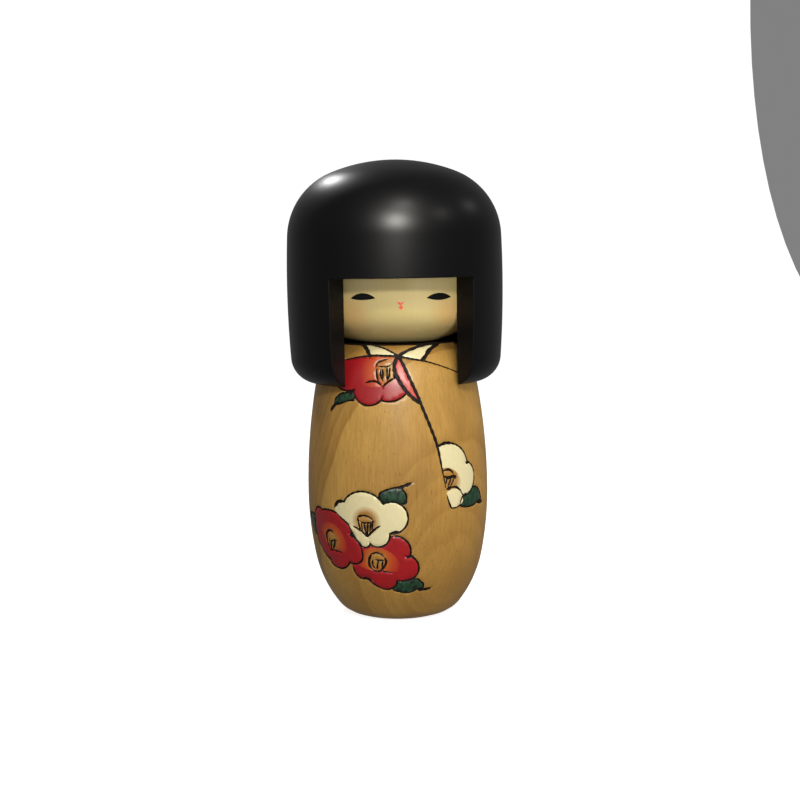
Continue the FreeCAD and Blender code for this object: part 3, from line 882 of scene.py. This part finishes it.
def draw_body():
    drawing = Drawing(BODY)
    front_edge = drawing.path(FRONT_EDGE)
    lapel_left = drawing.path(LAPEL_LEFT)
    lapel_right = drawing.path(LAPEL_RIGHT)
    chest_line = drawing.path(CHEST_LINE)

    def right_of_edge(x, y):
        return x > crossing_x(front_edge, y)

    def under_collar(x, y):
        return y < crossing_y(chest_line, x) and x < crossing_x(lapel_left, y)

    def everywhere(x, y):
        return True

    petals = {name: drawing.near(flower["centre"], bulging_path(flower["petals"]))
              for name, flower in FLOWERS.items()}

    def clear_of_flowers(x, y):
        return not any(inside(petal, x, y) for petal in petals.values())

    for centre, corners, tip in LEAVES.values():
        outline = drawing.near(centre, bulging_path(corners))
        drawing.shape(outline, "leaf")
        for run in visible_runs(outline + outline[:1], clear_of_flowers):
            drawing.stroke(run, LEAF_LINE_WIDTH, taper=(0.0, 0.0))
        drawing.stroke(drawing.near(centre, smooth_path(tip)), 1.15, taper=(0.1, 0.2))

    draw_flower(drawing, "low_red", everywhere, [petals["left_red"], petals["left_white"]])
    draw_flower(drawing, "left_red", everywhere, [petals["left_white"]])
    draw_flower(drawing, "left_white", everywhere, [])
    draw_flower(drawing, "right_white", right_of_edge, [])
    draw_flower(drawing, "chest_red", under_collar, [])

    # The white flower at the front edge has a small petal that turns up over its throat.
    turned_up = drawing.near(FLOWERS["right_white"]["centre"], bulging_path(TURNED_UP_PETAL))
    drawing.shape(turned_up, "white")
    drawing.stroke(turned_up[len(turned_up) // 3:], 0.6, taper=(0.1, 0.1))
    draw_collar(drawing, chest_line, lapel_left, lapel_right, front_edge)
    return drawing


def draw_face():
    drawing = Drawing(FACE)
    eyes = (((-25.8, 116.3), 4.6, 1.8, 0.6), ((25.5, 116.2), 5.0, 1.6, 0.9))
    for centre, half, above, below in eyes:
        lens = bulging_path([(-half, 0.0, above), (half, 0.1, below)], step=0.25)
        drawing.shape(drawing.near(centre, lens), "eye_black")
    upper = [(-1.15, 0.45, 0.25), (0.0, 0.1, 0.25), (1.15, 0.5, 0.25), (0.0, -0.65, 0.2)]
    lower = [(-0.62, 0.35, 0.2), (0.62, 0.35, 0.3), (0.05, -0.85, 0.3)]
    drawing.shape(drawing.near((-1.0, 114.5), bulging_path(upper, step=0.2)), "lips")
    drawing.shape(drawing.near((-0.9, 113.2), bulging_path(lower, step=0.2)), "lips")
    return drawing


# ---- pieces ----


def hair_section():
    """The hair cap's outside from the crown to the hem, and its bore from the hem to the axis."""
    crown = (0, HAIR_TOP - CROWN_ARC)
    side = (HAIR_RADIUS - SIDE_ARC, SIDE_HEIGHT)
    shoulder = meeting(side, SIDE_ARC - SHOULDER_ARC, crown, CROWN_ARC - SHOULDER_ARC)
    hem_centre = meeting(side, SIDE_ARC - HEM_ROUND, (BORE_RADIUS, HEM), HEM_ROUND)
    crown_edge = touch_point(crown, shoulder, CROWN_ARC)
    side_high = touch_point(side, shoulder, SIDE_ARC)
    side_low = touch_point(side, hem_centre, SIDE_ARC)
    window_x = side[0] + math.sqrt(SIDE_ARC ** 2 - (WINDOW_TOP - side[1]) ** 2)
    step = 1.1
    above = arc_points(crown, (0, HAIR_TOP), crown_edge, step)[1:]
    above += arc_points(shoulder, crown_edge, side_high, step)[1:]
    above += arc_points(side, side_high, (window_x, WINDOW_TOP), step)[1:]
    below = arc_points(side, (window_x, WINDOW_TOP), side_low, step)[1:]
    below += arc_points(hem_centre, side_low, (BORE_RADIUS, HEM), 0.6)[1:]
    corner = (BORE_RADIUS - CROWN_ROUND, BORE_TOP - CROWN_ROUND)
    inner_low = [(BORE_RADIUS, HEM + (WINDOW_TOP - HEM) * i / 12) for i in range(1, 12)]
    inner_high = [(BORE_RADIUS, WINDOW_TOP + (corner[1] - WINDOW_TOP) * i / 6) for i in range(7)]
    inner_high += arc_points(corner, (BORE_RADIUS, corner[1]), (corner[0], BORE_TOP), 1.6)[1:]
    return above, below, inner_low, inner_high


def make_hair():
    """The shell, with a window open at the front below WINDOW_TOP and on each side of it a
    flat end where the wedge was cut out."""
    above, below, inner_low, inner_high = hair_section()
    mesh = bmesh.new()

    def column(points, angle):
        return [mesh.verts.new((r * math.sin(angle), -r * math.cos(angle), z)) for r, z in points]

    around = 220
    span = math.tau - 2 * WINDOW_HALF
    angles = [WINDOW_HALF + span * i / around for i in range(around + 1)]
    front = 56
    angles += [math.tau - WINDOW_HALF + 2 * WINDOW_HALF * i / front for i in range(1, front)]
    top = mesh.verts.new((0, 0, HAIR_TOP))
    ceiling = mesh.verts.new((0, 0, BORE_TOP))
    high = [column(above, angle) for angle in angles]
    inner = [column(inner_high, angle) for angle in angles]
    low = [column(below + inner_low, angle) for angle in angles[:around + 1]]
    total = len(angles)
    for i in range(total):
        j = (i + 1) % total
        mesh.faces.new((top, high[i][0], high[j][0]))
        mesh.faces.new((ceiling, inner[j][-1], inner[i][-1]))
        for a, b in ((high[i], high[j]), (inner[i], inner[j])):
            for k in range(len(a) - 1):
                mesh.faces.new((a[k], a[k + 1], b[k + 1], b[k]))
        if i < around:
            first = [high[i][-1], *low[i], inner[i][0]]
            second = [high[j][-1], *low[j], inner[j][0]]
            for k in range(len(first) - 1):
                mesh.faces.new((first[k], first[k + 1], second[k + 1], second[k]))
        else:
            mesh.faces.new((high[i][-1], inner[i][0], inner[j][0], high[j][-1]))
    for i in (0, around):
        mesh.faces.new([high[i][-1], *low[i], inner[i][0]])
    for face in mesh.faces:
        face.smooth = True
    bmesh.ops.recalc_face_normals(mesh, faces=mesh.faces)
    bmesh.ops.scale(mesh, vec=(MM, MM, MM), verts=mesh.verts)
    piece = finish_mesh("hair", mesh, ["hair"], math.radians(40))
    bevel = piece.modifiers.new("eased_edges", "BEVEL")
    bevel.width = EDGE_ROUND * MM
    bevel.segments = 3
    bevel.limit_method = "ANGLE"
    bevel.angle_limit = math.radians(60)
    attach(piece, "turning_head")
    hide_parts("hair_cap")


def make_body():
    drawing = draw_body()
    slots = ["wood", "burnt", "red", "white", "leaf", "lapel"]
    slots += [name + "_throat" for name in FLOWERS]
    # The black band along the rim is partly a burnt neck line and partly painted shade of the gap
    # under the chin.
    # The flat top and the peg hole get the same black as painted shade, for wood lying in the
    # head's shadow. The flat base gets that black too.
    high_end = [(PEG_HOLE, BODY_HEIGHT), (PEG_HOLE, BODY_HEIGHT - PEG_DEPTH)]
    piece = painted_piece("body_turned", drawing, slots, 1.0, (88, 8, BODY.total - 0.5),
                          [], high_end, "burnt", bands=((BODY.total - 0.9, "burnt"),))
    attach(piece, "torso")
    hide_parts("body")


def make_face():
    drawing = draw_face()
    low_end = [(PEG_HOLE, SEAT), (PEG_HOLE, SEAT + PEG_DEPTH)]
    piece = painted_piece("face", drawing, ["face", "eye_black", "lips"], 1.1,
                          (48, 4, FACE.length_at(WINDOW_TOP)), low_end, [], "face")
    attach(piece, "turning_head")
    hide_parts("head")


def make_peg():
    shader = Shader("peg_wood", 0.6)
    fibre = shader.noise(shader.place(), (2.0, 2.0, 0.1), 4.0)
    material = shader.finish(shader.mix(fibre, linear(214, 182, 128), linear(188, 150, 96)))
    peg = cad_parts["neck_peg"]
    for slot in peg.material_slots:
        slot.material = material


MATERIALS = {
    "wood": wood_material(),
    "face": face_material(),
    "hair": hair_material(),
    # The burnt lines' black. On the body it is also the painted shade on the flat top and along the
    # rim under the chin.
    "burnt": plain_paint("burnt_line", (24, 14, 8), (9, 6, 4), 0.8, 0.6, 0.12),
    "red": plain_paint("red_paint", RED, RED_SHADE),
    "white": plain_paint("white_paint", CREAM, CREAM_SHADE, 0.35),
    "leaf": plain_paint("leaf_paint", (30, 68, 42), (6, 13, 11), 1.3),
    "lapel": plain_paint("lapel_paint", (194, 70, 58), (160, 46, 42)),
    "eye_black": plain_paint("eye_black", (5, 4, 4), (3, 3, 3), 0.5, 0.7, 0.08),
    "lips": plain_paint("lip_paint", (224, 84, 44), (205, 66, 34)),
}
for flower_name, flower in FLOWERS.items():
    MATERIALS[flower_name + "_throat"] = throat_paint(flower_name + "_throat", flower)

make_body()
make_face()
make_hair()
make_peg()

# ---- floor, light and camera ----


def make_floor():
    """A pale sweep: a flat floor that curves up behind the doll. It gives off light of its own
    and stays out of the doll's reflections and shading."""
    half_width, front, back, bend, top = 0.66, -0.26, 1.1, 0.5, 1.6
    profile = [(front, 0.0), (back, 0.0)]
    for degrees in range(6, 91, 6):
        angle = math.radians(degrees)
        profile.append((back + bend * math.sin(angle), bend - bend * math.cos(angle)))
    profile.append((back + bend, top))
    mesh = bmesh.new()
    left, right = [[mesh.verts.new((x, y, z)) for y, z in profile]
                   for x in (-half_width, half_width)]
    for k in range(len(profile) - 1):
        mesh.faces.new((left[k], left[k + 1], right[k + 1], right[k])).smooth = True
    data = bpy.data.meshes.new("floor")
    mesh.to_mesh(data)
    mesh.free()
    shader = Shader("floor_pale", 0.85, specular=0.1)
    shader.out.inputs["Emission Color"].default_value = (1, 1, 1, 1)
    shader.out.inputs["Emission Strength"].default_value = 0.86
    data.materials.append(shader.finish((0.55, 0.55, 0.55, 1)))
    floor = bpy.data.objects.new("floor", data)
    floor.visible_diffuse = False
    floor.visible_glossy = False
    bpy.context.scene.collection.objects.link(floor)


def make_light(name, size, power, place, aim, colour=(1, 1, 1), glossy=True, diffuse=True):
    """A round lamp. One that isn't glossy gives no highlight, one that isn't diffuse only that."""
    data = bpy.data.lights.new(name, "AREA")
    data.shape = "DISK"
    data.size = size
    data.energy = power
    data.color = colour
    lamp = bpy.data.objects.new(name, data)
    lamp.location = place
    lamp.rotation_euler = (Vector(aim) - Vector(place)).to_track_quat("-Z", "Y").to_euler()
    lamp.visible_glossy = glossy
    lamp.visible_diffuse = diffuse
    bpy.context.scene.collection.objects.link(lamp)


def make_world():
    world = bpy.data.worlds.new("studio")
    world.use_nodes = True
    background = world.node_tree.nodes["Background"]
    background.inputs["Color"].default_value = (1, 1, 1, 1)
    background.inputs["Strength"].default_value = 0.22
    bpy.context.scene.world = world


def make_camera():
    """In front, a little to the doll's right-hand side and above the fringe, looking slightly
    down. It leans by the roll, and slide moves it and its aim sideways together."""
    azimuth = math.radians(-4.6)
    distance = 0.520
    height = 0.1341
    aim_height = 0.07795
    slide = 0.00125
    roll = math.radians(0.85)
    right = Vector((math.cos(azimuth), math.sin(azimuth), 0))
    aim = Vector((0, 0, aim_height)) + right * slide
    place = Vector((math.sin(azimuth) * distance, -math.cos(azimuth) * distance, height))
    place += right * slide
    data = bpy.data.cameras.new("camera")
    data.lens = 64.2
    data.sensor_width = 36.0
    data.clip_start = 0.01
    camera = bpy.data.objects.new("camera", data)
    camera.location = place
    look = (aim - place).to_track_quat("-Z", "Y").to_matrix().to_4x4()
    view_axis = look.to_3x3().col[2]
    camera.rotation_euler = (Matrix.Rotation(-roll, 4, view_axis) @ look).to_euler()
    bpy.context.scene.collection.objects.link(camera)
    bpy.context.scene.camera = camera


def make_lights():
    """The first six make the highlights on the hair, and the last three lift the shadows."""
    warm = (1.0, 0.98, 0.9)
    make_light("key", 0.10, 2.45, (-0.028, -0.66, 0.46), (0, 0, 0.11), warm)
    make_light("sheen", 0.20, 9.0, (-0.02, -0.66, 0.45), (0, 0, 0.14), warm, diffuse=False)
    make_light("ceiling", 0.14, 2.0, (0.067, -0.468, 0.694), (0, 0, 0.14), warm)
    make_light("behind_left", 0.08, 2.2, (-0.245, 0.485, 0.59), (0, 0, 0.15))
    make_light("right_near", 0.05, 0.45, (0.484, -0.384, 0.528), (0, 0, 0.14), warm)
    make_light("right_far", 0.04, 0.2, (0.61, 0.089, 0.512), (0, 0, 0.14))
    make_light("fill", 0.7, 1.3, (0.9, -0.45, 0.35), (0, 0, 0.08), glossy=False)
    make_light("low_fill", 0.3, 1.65, (0.3, -0.6, 0.05), (0, 0, 0.01), glossy=False)
    make_light("low_left_fill", 0.3, 0.3, (-0.45, -0.5, 0.05), (0, 0, 0.01), glossy=False)


make_floor()
make_lights()
make_world()
make_camera()
bpy.context.scene.view_settings.view_transform = "Standard"
